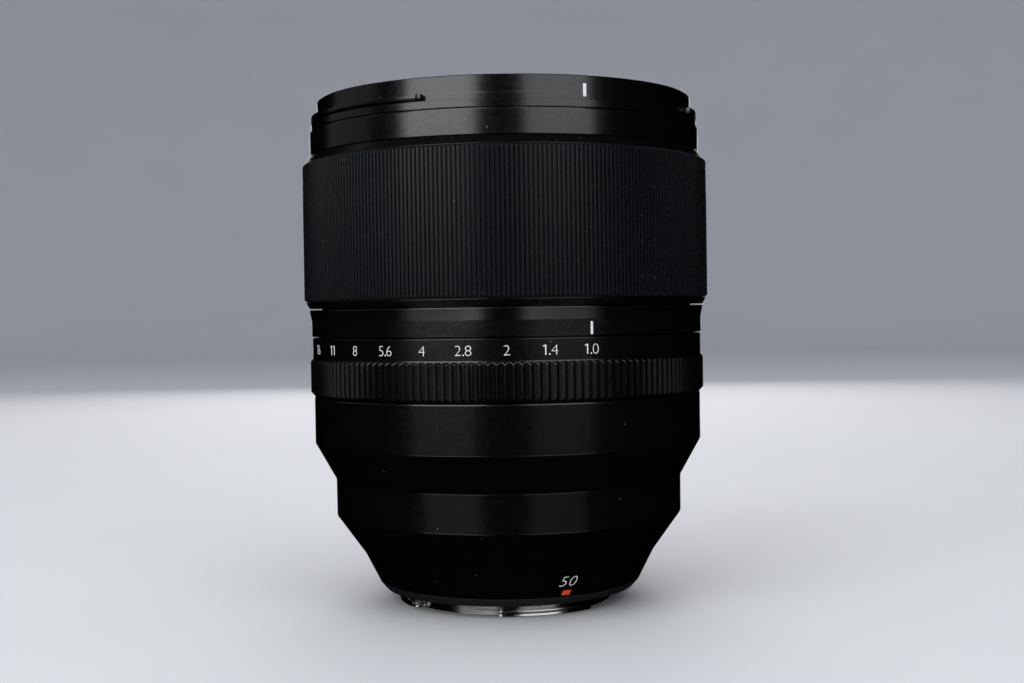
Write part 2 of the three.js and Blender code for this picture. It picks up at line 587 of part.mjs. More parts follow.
function buildIris() {
  // At rest the drive pins stand half the blades' turn to one side of their pivots' radii.
  const half = BLADE_TURN / 2 * DEG;
  const pinX = BLADE_PIVOT_RADIUS + BLADE_ARM * Math.cos(half);
  const pinY = -BLADE_ARM * Math.sin(half);
  const pinRadius = Math.hypot(pinX, pinY);
  const pinAngle = Math.atan2(pinY, pinX) / DEG;
  const pinRoom = BLADE_PIN_RADIUS + JOIN_GAP;
  const pivots = Array.from({ length: BLADES }, (_, i) => i * 360 / BLADES);
  const pinionDistance = meshDistance(IRIS_RING_TEETH, IRIS_PINION_TEETH, IRIS_MODULE);
  const pinionPlace = polar(pinionDistance, IRIS_MOTOR_AT);
  const shaftRadius = 0.5;

  const pivotHoles = pivots.map((at) => post(polar(BLADE_PIVOT_RADIUS, at), pinRoom, 50, 52, 8));
  const shaftHole = post(pinionPlace, shaftRadius + JOIN_GAP, 50, 52, 8);
  const base = tube(STOP_RADIUS, 37.4, IRIS_BASE, IRIS_BASE + 0.6);
  add('iris_base', carve([base], [...pivotHoles, shaftHole]), 'inner_black');

  pivots.forEach((at, i) => {
    const bottom = FIRST_BLADE + i * BLADE_LAYER;
    const top = bottom + BLADE_THICKNESS;
    const middle = (bottom + top) / 2;
    const leaf = arcBlock({
      inner: STOP_RADIUS + 0.2, outer: 27.4, from: at - 8, to: at + 100, bottom, top,
    });
    const ear = arcBlock({
      inner: 26.5, outer: 33, from: at - 4.4, to: at + 3, bottom, top, step: 8,
    });
    const pivot = post(polar(BLADE_PIVOT_RADIUS, at), BLADE_PIN_RADIUS, IRIS_BASE + 0.1, middle, 8);
    const drive = post(polar(pinRadius, at + pinAngle), BLADE_PIN_RADIUS, middle, DRIVE_RING_TOP - 0.05, 8);
    add(`iris_blade_${i + 1}`, carve([leaf, ear, pivot, drive]), 'blade_steel');
  });

  const slotHalf = pinRoom / pinRadius / DEG;
  const slots = pivots.map((at) => arcBlock({
    inner: pinRadius - pinRoom, outer: BLADE_PIVOT_RADIUS + BLADE_ARM + pinRoom,
    from: at + pinAngle - slotHalf, to: at + pinAngle + slotHalf, bottom: 53, top: 56,
  }));
  const sector = gearSector({
    teeth: IRIS_RING_TEETH, module: IRIS_MODULE, inner: 32.4, meshDegrees: IRIS_MOTOR_AT,
    before: 5, after: 2, bottom: DRIVE_RING_BOTTOM, top: DRIVE_RING_TOP,
  });
  const ring = tube(29.4, 33.3, DRIVE_RING_BOTTOM, DRIVE_RING_TOP, OUTER_SIDES);
  const window = arcBlock({
    inner: 32.9, outer: 35, from: IRIS_MOTOR_AT - 9, to: IRIS_MOTOR_AT + 9,
    bottom: DRIVE_RING_BOTTOM - 1, top: DRIVE_RING_TOP + 1, step: 4.5,
  });
  const cutRing = carve([ring], [...slots, window]);
  add('iris_drive_ring', carve([cutRing, sector]), 'brass');
  add('iris_cover', tube(STOP_RADIUS + 1, 37.4, 55.15, 55.65), 'inner_black');

  const towardAxis = INDEX_DIRECTION + (IRIS_MOTOR_AT + 180) * DEG;
  const pinion = gearDisc(
    IRIS_PINION_TEETH, IRIS_MODULE, towardAxis, 0, DRIVE_RING_BOTTOM - 0.1, DRIVE_RING_TOP + 0.05,
  );
  const shaft = post({ x: 0, y: 0 }, shaftRadius, 50.1, DRIVE_RING_BOTTOM, 8);
  add('iris_pinion', carve([pinion, shaft]), 'brass', pinionPlace);
  add('iris_motor', post({ x: 0, y: 0 }, 2.7, 40, 49.8, 16), 'steel', pinionPlace);
}

// ---------------------------------------------------------------- electronics

function buildBoard() {
  const board = tube(25.2, 29.6, 9.8, 10.6);
  const places = [[10, 26], [70, 82], [118, 140], [190, 200], [245, 262], [300, 318]];
  const chips = places.map(([from, to]) => arcBlock({
    inner: 26, outer: 28.8, from, to, bottom: 10.4, top: 11.6, step: 30,
  }));
  add('main_board', carve([board, ...chips]), 'board');
}

buildFront();
buildMainBarrel();
buildRearBarrel();
buildFocusRing();
buildApertureRing();
buildMount();
buildCells();
buildElements();
buildFocusDrive();
buildIris();
buildBoard();

export default lens;
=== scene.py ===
"""A fast 50 mm prime lens for a mirrorless camera, standing on its rear mount.

Radii and heights in the outlines are millimetres. A height counts from the mount's flange plane
towards the front, as on a lens drawing, and place() turns it into the row frame's metres.
An angle is in degrees from the index marks, which face -Y, and grows to the right of the marks
for someone who looks at them.
"""

import math

import bmesh
import bpy
from mathutils import Matrix, Vector


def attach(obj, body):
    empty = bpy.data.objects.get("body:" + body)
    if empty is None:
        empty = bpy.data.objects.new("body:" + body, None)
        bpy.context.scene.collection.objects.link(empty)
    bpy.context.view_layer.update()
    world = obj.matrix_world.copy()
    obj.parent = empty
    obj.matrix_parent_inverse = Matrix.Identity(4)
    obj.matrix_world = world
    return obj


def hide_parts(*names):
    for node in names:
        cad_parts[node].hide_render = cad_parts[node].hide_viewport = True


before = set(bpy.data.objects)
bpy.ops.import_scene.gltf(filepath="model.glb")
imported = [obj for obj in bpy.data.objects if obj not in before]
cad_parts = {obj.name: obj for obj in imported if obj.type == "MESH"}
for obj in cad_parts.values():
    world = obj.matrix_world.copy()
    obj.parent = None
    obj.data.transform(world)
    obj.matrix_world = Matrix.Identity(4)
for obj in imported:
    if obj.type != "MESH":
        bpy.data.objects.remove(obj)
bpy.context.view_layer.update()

# ------------------------------------------------------------------ driving dimensions

MM = 0.001
FLANGE_HEIGHT = 3.3            # flange plane above the bayonet's rear end
LENGTH = 103.5                 # flange plane to front rim
INDEX_ANGLE = math.radians(-90)

TURNED_STEPS = 240             # facets round a large turned ring
SMALL_STEPS = 96               # and round a small or hidden one
FILLET = 0.1                   # usual edge break
SMOOTH_TURN = math.radians(6)  # an outline that turns by less than this is a curve

GRIP_RIBS = 300
GRIP_DEPTH = 0.4
GRIP_RADIUS = 43.5             # over the ribs
GRIP_SEAT = 42.6
GRIP_BOTTOM, GRIP_TOP = 61.1, 90.15
KNURL_RIBS = 162
KNURL_DEPTH = 0.45
KNURL_RADIUS = 42.4
STOP_STEP = 11.43              # degrees from one full stop to the next
BLADES = 9


def place(radius, angle, height):
    """A point of the row frame, in metres, from a radius, an angle in degrees and a height."""
    a = INDEX_ANGLE + math.radians(angle)
    return Vector((radius * math.cos(a), radius * math.sin(a), height + FLANGE_HEIGHT)) * MM


# ------------------------------------------------------------------ materials

class Shader:
    """A material's node tree with short ways to add what the finishes below are made of."""

    def __init__(self, name, **inputs):
        self.material = bpy.data.materials.new(name)
        self.material.use_nodes = True
        self.tree = self.material.node_tree
        self.tree.nodes.clear()
        self.output = self.node("ShaderNodeOutputMaterial")
        self.surface = self.node("ShaderNodeBsdfPrincipled")
        self.link(self.surface.outputs[0], self.output.inputs[0])
        for key, value in inputs.items():
            self.surface.inputs[key.replace("_", " ")].default_value = value
        self.where = self.node("ShaderNodeTexCoord").outputs["Object"]

    def node(self, kind, **settings):
        made = self.tree.nodes.new(kind)
        for key, value in settings.items():
            setattr(made, key, value)
        return made

    def link(self, source, target):
        self.tree.links.new(source, target)

    def math(self, operation, a, b):
        made = self.node("ShaderNodeMath", operation=operation)
        for value, socket in zip((a, b), made.inputs):
            if isinstance(value, (int, float)):
                socket.default_value = value
            else:
                self.link(value, socket)
        return made.outputs[0]

    def stretched(self, x, y, z):
        """Object coordinates scaled along each axis."""
        mapping = self.node("ShaderNodeMapping")
        mapping.inputs["Scale"].default_value = (x, y, z)
        self.link(self.where, mapping.inputs["Vector"])
        return mapping.outputs[0]

    def noise(self, scale, detail=2.0, vector=None):
        made = self.node("ShaderNodeTexNoise")
        made.inputs["Scale"].default_value = scale
        made.inputs["Detail"].default_value = detail
        self.link(vector or self.where, made.inputs["Vector"])
        return made.outputs["Fac"]

    def spread(self, value, low, high):
        """Noise from about 0.3 to 0.7, spread from low to high."""
        made = self.node("ShaderNodeMapRange")
        made.inputs["From Min"].default_value = 0.3
        made.inputs["From Max"].default_value = 0.7
        made.inputs["To Min"].default_value = low
        made.inputs["To Max"].default_value = high
        self.link(value, made.inputs["Value"])
        return made.outputs[0]

    def bump(self, height, depth):
        """Depth is in metres."""
        made = self.node("ShaderNodeBump")
        made.inputs["Strength"].default_value = 1.0
        made.inputs["Distance"].default_value = depth
        self.link(height, made.inputs["Height"])
        self.link(made.outputs[0], self.surface.inputs["Normal"])

    def blend(self, factor, a, b):
        """A colour between a and b."""
        made = self.node("ShaderNodeMix", data_type="RGBA")
        colours = [s for s in made.inputs if s.type == "RGBA"]
        for value, socket in zip((a, b), colours):
            if isinstance(value, tuple):
                socket.default_value = (*value, 1)
            else:
                self.link(value, socket)
        self.link(factor, made.inputs[0])
        return [s for s in made.outputs if s.type == "RGBA"][0]

    def dust(self, spacing, size, share):
        """1 on small specks, 0 elsewhere. Spacing and size are in metres. share is the part of the
        cells that hold a speck."""
        cells = self.node("ShaderNodeTexVoronoi")
        cells.inputs["Scale"].default_value = 1 / spacing
        self.link(self.where, cells.inputs["Vector"])
        parts = self.node("ShaderNodeSeparateColor")
        self.link(cells.outputs["Color"], parts.inputs[0])
        reach = self.math("MULTIPLY", parts.outputs[1], size / spacing)
        near = self.math("LESS_THAN", cells.outputs["Distance"], reach)
        chosen = self.math("LESS_THAN", parts.outputs[0], share)
        return self.math("MULTIPLY", near, chosen)


def satin_metal(name, colour, lighter, roughness, grain, dusty):
    """Black anodised metal: a fine blasted grain, a little uneven sheen, and specks of dust."""
    s = Shader(name, Metallic=0.0, Specular_IOR_Level=0.9)
    cloud = s.noise(420, 3)
    paint = s.blend(cloud, colour, lighter)
    if dusty:
        paint = s.blend(s.dust(0.0012, 0.00013, 0.16), paint, (0.15, 0.15, 0.145))
    s.link(paint, s.surface.inputs["Base Color"])
    sheen = s.spread(s.noise(1300, 3), roughness - 0.035, roughness + 0.035)
    s.link(sheen, s.surface.inputs["Roughness"])
    s.bump(s.noise(5200, 2), grain)
    return s.material


def rubber(name, colour, lighter, roughness, dusty):
    """Moulded rubber, matt and a little blue, with dust held in its ribs."""
    s = Shader(name, Metallic=0.0, Specular_IOR_Level=0.21)
    cloud = s.noise(650, 4)
    paint = s.blend(cloud, colour, lighter)
    if dusty:
        paint = s.blend(s.dust(0.0011, 0.00012, 0.2), paint, (0.17, 0.17, 0.17))
    s.link(paint, s.surface.inputs["Base Color"])
    s.link(s.spread(s.noise(2100, 2), roughness - 0.05, roughness + 0.06), s.surface.inputs["Roughness"])
    s.bump(s.noise(3800, 3), 0.000006)
    return s.material


def bright_metal(name, colour, darker, roughness, lines):
    """Turned or plated metal: fine lines that follow the turning, with soft wear."""
    s = Shader(name, Metallic=1.0)
    s.link(s.blend(s.noise(160, 4), colour, darker), s.surface.inputs["Base Color"])
    turning = s.noise(40, 3, s.stretched(1, 1, 160) if lines else s.where)
    s.link(s.spread(turning, roughness * 0.7, roughness * 1.4), s.surface.inputs["Roughness"])
    grain = s.noise(30, 2, s.stretched(1, 1, 220)) if lines else s.noise(2600, 2)
    s.bump(grain, 0.000018 if lines else 0.000004)
    return s.material


def moulded_plastic(name, colour, lighter, roughness):
    s = Shader(name, Metallic=0.0)
    s.link(s.blend(s.noise(500, 3), colour, lighter), s.surface.inputs["Base Color"])
    s.link(s.spread(s.noise(1800, 2), roughness - 0.05, roughness + 0.05), s.surface.inputs["Roughness"])
    s.bump(s.noise(3000, 2), 0.000007)
    return s.material


def printed_paint(name, colour, thinner):
    """Screen-printed paint, slightly thinner in places."""
    s = Shader(name, Metallic=0.0, Roughness=0.55)
    s.link(s.blend(s.spread(s.noise(2400, 2), 0.0, 1.0), colour, thinner), s.surface.inputs["Base Color"])
    s.bump(s.noise(4000, 2), 0.000003)
    return s.material


def circuit_board(name):
    """Green solder resist over a faint grid of tracks."""
    s = Shader(name, Metallic=0.0, Roughness=0.4)
    tracks = s.node("ShaderNodeTexBrick")
    tracks.inputs["Scale"].default_value = 420
    tracks.inputs["Color1"].default_value = (0.010, 0.085, 0.032, 1)
    tracks.inputs["Color2"].default_value = (0.014, 0.110, 0.044, 1)
    tracks.inputs["Mortar"].default_value = (0.030, 0.170, 0.080, 1)
    s.link(s.where, tracks.inputs["Vector"])
    s.link(tracks.outputs["Color"], s.surface.inputs["Base Color"])
    s.bump(s.noise(1500, 2), 0.00001)
    return s.material


def coated_glass(name, index, film):
    """Optical glass under an anti-reflection film, whose thickness in nanometres sets its tint."""
    s = Shader(name, Metallic=0.0, Roughness=0.0, IOR=index, Transmission_Weight=1.0,
               Thin_Film_Thickness=film, Thin_Film_IOR=1.38)
    tint = s.blend(s.noise(25, 1), (0.985, 0.995, 0.99), (0.97, 0.985, 0.98))
    s.link(tint, s.surface.inputs["Base Color"])
    # Lamps shine through onto the blades and the walls behind the glass.
    ray = s.node("ShaderNodeLightPath")
    clear = s.node("ShaderNodeBsdfTransparent")
    pick = s.node("ShaderNodeMixShader")
    s.link(ray.outputs["Is Shadow Ray"], pick.inputs[0])
    s.link(s.surface.outputs[0], pick.inputs[1])
    s.link(clear.outputs[0], pick.inputs[2])
    s.link(pick.outputs[0], s.output.inputs[0])
    return s.material


def make_finishes():
    """One material for each slot of the record, the two paints and the contacts' gold."""
    return {
        "satin_black": satin_metal("satin_black", (0.0011, 0.0011, 0.0013), (0.0019, 0.0019, 0.0021),
                                   0.2, 0.0000006, True),
        "dark_metal": satin_metal("dark_metal", (0.0012, 0.0012, 0.0013), (0.0020, 0.0020, 0.0022),
                                  0.25, 0.000001, True),
        "inner_black": satin_metal("inner_black", (0.003, 0.003, 0.003), (0.005, 0.005, 0.005),
                                   0.62, 0.000009, False),
        "grip_rubber": rubber("grip_rubber", (0.0048, 0.0055, 0.0066), (0.0078, 0.0088, 0.0104),
                              0.23, True),
        "seal_rubber": rubber("seal_rubber", (0.014, 0.015, 0.017), (0.019, 0.020, 0.022), 0.5, False),
        "mount_metal": bright_metal("mount_metal", (0.72, 0.71, 0.69), (0.60, 0.59, 0.57), 0.16, True),
        "steel": bright_metal("steel", (0.55, 0.55, 0.56), (0.42, 0.42, 0.43), 0.3, False),
        "blade_steel": bright_metal("blade_steel", (0.17, 0.17, 0.18), (0.11, 0.11, 0.12),
                                    0.42, False),
        "brass": bright_metal("brass", (0.72, 0.50, 0.20), (0.55, 0.37, 0.14), 0.28, True),
        "black_plastic": moulded_plastic("black_plastic", (0.009, 0.009, 0.009),
                                         (0.014, 0.014, 0.014), 0.5),
        "gear_plastic": moulded_plastic("gear_plastic", (0.62, 0.60, 0.55), (0.70, 0.68, 0.63), 0.45),
        "board": circuit_board("board"),
        "glass": coated_glass("glass", 1.62, 105),
        "white_paint": printed_paint("white_paint", (0.90, 0.90, 0.90), (0.80, 0.80, 0.80)),
        "orange_paint": printed_paint("orange_paint", (0.85, 0.075, 0.012), (0.72, 0.055, 0.010)),
        "gold": bright_metal("gold", (0.83, 0.60, 0.26), (0.74, 0.52, 0.20), 0.2, False),
    }


FINISH = make_finishes()


# ------------------------------------------------------------------ mesh helpers

def rounded(outline, fillet):
    """[radius, height, normal radius, normal height] along an outline whose corners are rounded.
    An outline that starts on the optical axis is open. Any other one closes on itself."""
    points = [Vector(p) for p in outline]
    count = len(points)
    is_open = outline[0][0] == 0
    area = sum(points[i].x * points[(i + 1) % count].y - points[(i + 1) % count].x * points[i].y
               for i in range(count))
    if area < 0:
        points.reverse()
    made = []
    for i, p in enumerate(points):
        if is_open and i in (0, count - 1):
            made.append((p.x, p.y, 0.0, -1.0 if i == 0 else 1.0))
            continue
        before, after = points[i - 1], points[(i + 1) % count]
        d1, d2 = (p - before).normalized(), (after - p).normalized()
        side = d1.x * d2.y - d1.y * d2.x
        turn = math.atan2(abs(side), d1.dot(d2))
        if turn < SMOOTH_TURN:
            d = (d1 + d2).normalized()
            made.append((p.x, p.y, d.y, -d.x))
            continue
        reach = min(fillet * math.tan(turn / 2), 0.45 * (p - before).length, 0.45 * (after - p).length)
        radius = reach / math.tan(turn / 2)
        inward = Vector((-d1.y, d1.x)) * (1 if side > 0 else -1)
        start = p - d1 * reach
        steps = max(2, math.ceil(turn / math.radians(20)))
        for k in range(steps + 1):
            a = turn * k / steps
            at = start + (d1 * math.sin(a) + inward * (1 - math.cos(a))) * radius
            d = d1 * math.cos(a) + inward * math.sin(a)
            made.append((at.x, at.y, d.y, -d.x))
    return made, is_open


def new_piece(name, vertices, faces):
    mesh = bpy.data.meshes.new(name)
    mesh.from_pydata(vertices, [], faces)
    mesh.validate()
    mesh.update()
    piece = bpy.data.objects.new(name, mesh)
    bpy.context.scene.collection.objects.link(piece)
    return piece


def crease(piece, degrees=32):
    """Smooth faces with sharp edges where they meet at more than the angle."""
    piece.data.shade_smooth()
    piece.data.set_sharp_from_angle(angle=math.radians(degrees))
    return piece


def turned(name, outline, fillet=FILLET, steps=TURNED_STEPS):
    """An outline turned about the optical axis, with each vertex's true normal."""
    profile, is_open = rounded(outline, fillet)
    vertices, normals, rings = [], [], []
    for radius, height, across, along in profile:
        sides = 1 if radius < 1e-6 else steps
        rings.append(range(len(vertices), len(vertices) + sides))
        for k in range(sides):
            a = 360 * k / steps
            vertices.append(place(radius, a, height))
            direction = place(1, a, -FLANGE_HEIGHT) / MM
            normals.append((direction.x * across, direction.y * across, along))
    faces = []
    pairs = list(zip(rings, rings[1:])) + ([] if is_open else [(rings[-1], rings[0])])
    for low, high in pairs:
        for k in range(steps):
            after = (k + 1) % steps
            corners = [low[k % len(low)], low[after % len(low)],
                       high[after % len(high)], high[k % len(high)]]
            faces.append(list(dict.fromkeys(corners)))
    mesh = bpy.data.meshes.new(name)
    mesh.from_pydata(vertices, [], faces)
    mesh.shade_smooth()
    mesh.normals_split_custom_set_from_vertices(normals)
    piece = bpy.data.objects.new(name, mesh)
    bpy.context.scene.collection.objects.link(piece)
    return piece


def ribbed(name, ribs, section, column):
    """A ring whose ribs run along the optical axis. section lists [share of the pitch, height
    from 0 to 1] across one rib, and column(height) gives the closed outline there."""
    vertices, faces = [], []
    angles = [(k + share) * 360 / ribs for k in range(ribs) for share, _ in section]
    heights = [h for _ in range(ribs) for _, h in section]
    rows = len(column(0))
    for angle, h in zip(angles, heights):
        vertices += [place(radius, angle, height) for radius, height in column(h)]
    total = len(angles)
    for i in range(total):
        here, there = i * rows, (i + 1) % total * rows
        for j in range(rows):
            k = (j + 1) % rows
            faces.append((here + j, there + j, there + k, here + k))
    return crease(new_piece(name, vertices, faces), 30)


def arc_block(name, inner, outer, first, last, bottom, top, bevel=0.08, step=1.5):
    """A block bent round the optical axis, with its edges bevelled."""
    count = max(1, math.ceil((last - first) / step))
    vertices, faces = [], []
    for k in range(count + 1):
        a = first + (last - first) * k / count
        vertices += [place(inner, a, bottom), place(outer, a, bottom),
                     place(outer, a, top), place(inner, a, top)]
    for k in range(count):
        for j in range(4):
            m = (j + 1) % 4
            faces.append((4 * k + j, 4 * k + 4 + j, 4 * k + 4 + m, 4 * k + m))
    faces += [(0, 1, 2, 3), tuple(4 * count + j for j in (3, 2, 1, 0))]
    piece = new_piece(name, vertices, faces)
    return bevelled(piece, bevel)


def bevelled(piece, width, segments=2):
    """Edge breaks on every corner sharper than 40 degrees. A width of 0 leaves the edges sharp."""
    if width:
        cut = piece.modifiers.new("edges", "BEVEL")
        cut.width = width * MM
        cut.segments = segments
        cut.limit_method = "ANGLE"
        cut.angle_limit = math.radians(40)
        settle(piece)
    return crease(piece)


def settle(piece):
    """Applies the piece's modifiers to its mesh."""
    shown = piece.evaluated_get(bpy.context.evaluated_depsgraph_get())
    piece.data = bpy.data.meshes.new_from_object(shown)
    piece.modifiers.clear()


def joined(name, pieces):
    """One mesh from several, which are removed."""
    together = bmesh.new()
    for piece in pieces:
        piece.data.transform(piece.matrix_world)
        together.from_mesh(piece.data)
        bpy.data.objects.remove(piece)
    mesh = bpy.data.meshes.new(name)
    together.to_mesh(mesh)
    together.free()
    whole = bpy.data.objects.new(name, mesh)
    bpy.context.scene.collection.objects.link(whole)
    return whole


def cut_from(piece, *cutters):
    """Cuts the cutters out of the piece and removes them."""
    for cutter in cutters:
        cut = piece.modifiers.new("cut", "BOOLEAN")
        cut.operation = "DIFFERENCE"
        cut.solver = "EXACT"
        cut.object = cutter
    settle(piece)
    for cutter in cutters:
        bpy.data.objects.remove(cutter)
    return crease(piece, 30)


def post(name, radius, angle, at, bottom, top, sides=32, bevel=0.06):
    """A round pin parallel to the optical axis, at a radius and an angle from it."""
    centre = place(at, angle, 0)
    turns = [2 * math.pi * k / sides for k in range(sides)]
    ring = [(radius * MM * math.cos(a), radius * MM * math.sin(a)) for a in turns]
    heights = [(height + FLANGE_HEIGHT) * MM for height in (bottom, top)]
    vertices = [(centre.x + x, centre.y + y, z) for z in heights for x, y in ring]
    faces = [(k, (k + 1) % sides, sides + (k + 1) % sides, sides + k) for k in range(sides)]
    faces += [tuple(reversed(range(sides))), tuple(range(sides, 2 * sides))]
    return bevelled(new_piece(name, vertices, faces), bevel)


def show(piece, body, slot, *nodes):
    """Gives a piece its body and its finish, and hides the CAD nodes that it stands for."""
    piece.data.materials.clear()
    piece.data.materials.append(FINISH[slot])
    if nodes:
        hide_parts(*nodes)
    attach(piece, body)


# ------------------------------------------------------------------ lettering

def prism(outline):
    """(vertices, faces) of a flat outline, which runs anticlockwise, made solid."""
    count = len(outline)
    vertices = [(x, y, z) for z in (-1, 1) for x, y in outline]
    faces = [(k, (k + 1) % count, count + (k + 1) % count, count + k) for k in range(count)]
    return vertices, [*faces, tuple(reversed(range(count))), tuple(range(count, 2 * count))]


def glyph(text, slant=0.0):
    """A character's mesh as (vertices, faces, width, height), its lower left corner at 0."""
    curve = bpy.data.curves.new("glyph", "FONT")
    curve.body = text
    curve.extrude = 0.01
    curve.resolution_u = 5
    curve.shear = slant
    curve.offset = GLYPH_THIN
    holder = bpy.data.objects.new("glyph", curve)
    bpy.context.scene.collection.objects.link(holder)
    bpy.context.view_layer.update()
    mesh = bpy.data.meshes.new_from_object(holder.evaluated_get(bpy.context.evaluated_depsgraph_get()))
    bpy.data.objects.remove(holder)
    xs = [v.co.x for v in mesh.vertices]
    ys = [v.co.y for v in mesh.vertices]
    left, width, height = min(xs), max(xs) - min(xs), max(ys) - min(ys)
    vertices = [(v.co.x - left, v.co.y - min(ys), v.co.z) for v in mesh.vertices]
    return vertices, [tuple(p.vertices) for p in mesh.polygons], width, height


GLYPH_GAP = 0.17               # between two characters, as a part of their height
GLYPH_WIDE = 1.08              # the figures are a little wider than the font's own
GLYPH_THIN = -0.024            # and their strokes a little thinner
DOT_SIZE = 0.135
DOT_GAP = GLYPH_GAP * 0.55     # after a point
ONE_GAP = GLYPH_GAP * 1.65     # after a 1
PAINT_FACE, PAINT_ROOT = 0.03, -0.05    # printing, from proud of the surface to inside it
ONE = ((0.22, 0), (0.34, 0), (0.34, 1), (0.25, 1), (0, 0.9), (0.03, 0.8), (0.22, 0.88))


def lettering(name, text, height, centre, surface, slant=0.0):
    """Figures laid on a surface and centred on an angle. surface(centre, across, up, out) gives
    the point that lies so many millimetres along and out from the middle of the figures."""
    parts, x = [], 0.0
    for character in text:
        scale, stretch, gap = 1.0, 1.0, GLYPH_GAP
        if character == ".":
            vertices, faces = prism([(0, 0), (DOT_SIZE, 0), (DOT_SIZE, DOT_SIZE), (0, DOT_SIZE)])
            width, gap = DOT_SIZE, DOT_GAP
        elif character == "1":
            vertices, faces = prism(ONE)
            width, gap = ONE[1][0], ONE_GAP
        else:
            vertices, faces, width, tall = glyph(character, slant)
            scale, stretch = 1 / tall, GLYPH_WIDE
        parts.append((x, scale, stretch, vertices, faces))
        x += width * scale * stretch + gap
    total = x - GLYPH_GAP
    all_vertices, all_faces = [], []
    for start, scale, stretch, vertices, faces in parts:
        first = len(all_vertices)
        for vx, vy, vz in vertices:
            across = (start + vx * scale * stretch - total / 2) * height
            out = PAINT_FACE if vz > 0 else PAINT_ROOT
            all_vertices.append(surface(centre, across, (vy * scale - 0.5) * height, out))
        all_faces += [tuple(first + k for k in face) for face in faces]
    return new_piece(name, all_vertices, all_faces)


def on_cylinder(radius, level):
    def point(centre, across, up, out):
        return place(radius + out, centre + math.degrees(across / radius), level + up)
    return point


def on_cone(low, high, level):
    """The surface between two [radius, height] points. level is the height of its middle line."""
    (r1, z1), (r2, z2) = low, high
    slant = Vector((r2 - r1, z2 - z1)).normalized()

    def point(centre, across, up, out):
        middle = r1 + (level - z1) * slant.x / slant.y
        radius = middle + up * slant.x + out * slant.y
        height = level + up * slant.y - out * slant.x
        return place(radius, centre + math.degrees(across / radius), height)
    return point


# ------------------------------------------------------------------ front

def grooves(inner, depth, bottom, top, pitch):
    """Outline points of fine grooves down the inside of a ring, from top to bottom."""
    count = int((top - bottom) / pitch)
    points = []
    for k in range(count):
        z = top - k * pitch
        points += [(inner, z), (inner + depth, z - pitch / 2)]
    return points + [(inner, top - count * pitch)]


THREAD_RADIUS = 38.5
LUG_RADIUS = 41.6
LUG_FLOOR = 41.2               # of the stop notch
SHOULDER = 98.7
LUG_TOP = 100.15


def build_front():
    rim = turned("filter_rim", [
        (41.42, 97.12), (41.5, 97.3), (41.5, SHOULDER), (40.25, SHOULDER), (40.25, LUG_TOP - 0.2),
        (40.2, LUG_TOP + 0.1), (40.2, LENGTH - 0.15), (40.05, LENGTH), (38.9, LENGTH),
        (THREAD_RADIUS, LENGTH - 0.4), *grooves(THREAD_RADIUS, 0.35, 98.9, 102.9, 0.75),
        (THREAD_RADIUS, 97.12),
    ], fillet=0.07)
    show(rim, "lens_body", "satin_black", "front_rim")
    # Each bayonet lug of the lens hood: a long land, a stop notch and the short end beyond it.
    for side, spans in {
        "left": [(-135, -46.6, LUG_RADIUS), (-46.7, -46.25, LUG_FLOOR), (-46.35, -45.25, LUG_RADIUS)],
        "right": [(45.6, 47.4, LUG_RADIUS), (47.3, 48.7, LUG_FLOOR), (48.6, 135, LUG_RADIUS)],
    }.items():
        blocks = [arc_block("block", 39.9, outer, first, last, SHOULDER + 0.3, LUG_TOP, bevel=0.05)
                  for first, last, outer in spans]
        show(crease(joined(f"hood_lug_{side}", blocks)), "lens_body", "satin_black")
    mark = arc_block("front_index_mark", 40.1, 40.26, -0.48, 0.48, 99.4, 101.9, bevel=0)
    show(mark, "lens_body", "white_paint")

    steps = []
    for k in range(9):
        r, z = 38.1 - k * 0.5, 98.6 - k * 0.12
        steps += [(r, z), (r - 0.35, z), (r - 0.4, z - 0.12)]
    ridge_end = steps[-1]
    trim = turned("trim_ring_fine", [
        (32.8, 91.3), (34, 97.2), (38.1, 97.2), *steps, (ridge_end[0] - 0.2, ridge_end[1]),
        (31.6, 91.6), (31.7, 91.3),
    ], fillet=0.04)
    show(trim, "lens_body", "inner_black", "trim_ring")
    barrel = turned("front_barrel_fine", [
        (36.2, 95.2), (38, 95.2), (38, 91.97), (41.8, 91.97), (41.87, 96.75), (41.8, 96.97),
        (36.2, 96.97),
    ])
    show(barrel, "lens_body", "satin_black", "front_barrel")


# ------------------------------------------------------------------ barrels

CONE_LOW, CONE_HIGH = (28.4, 1.3), (31.4, 7.2)


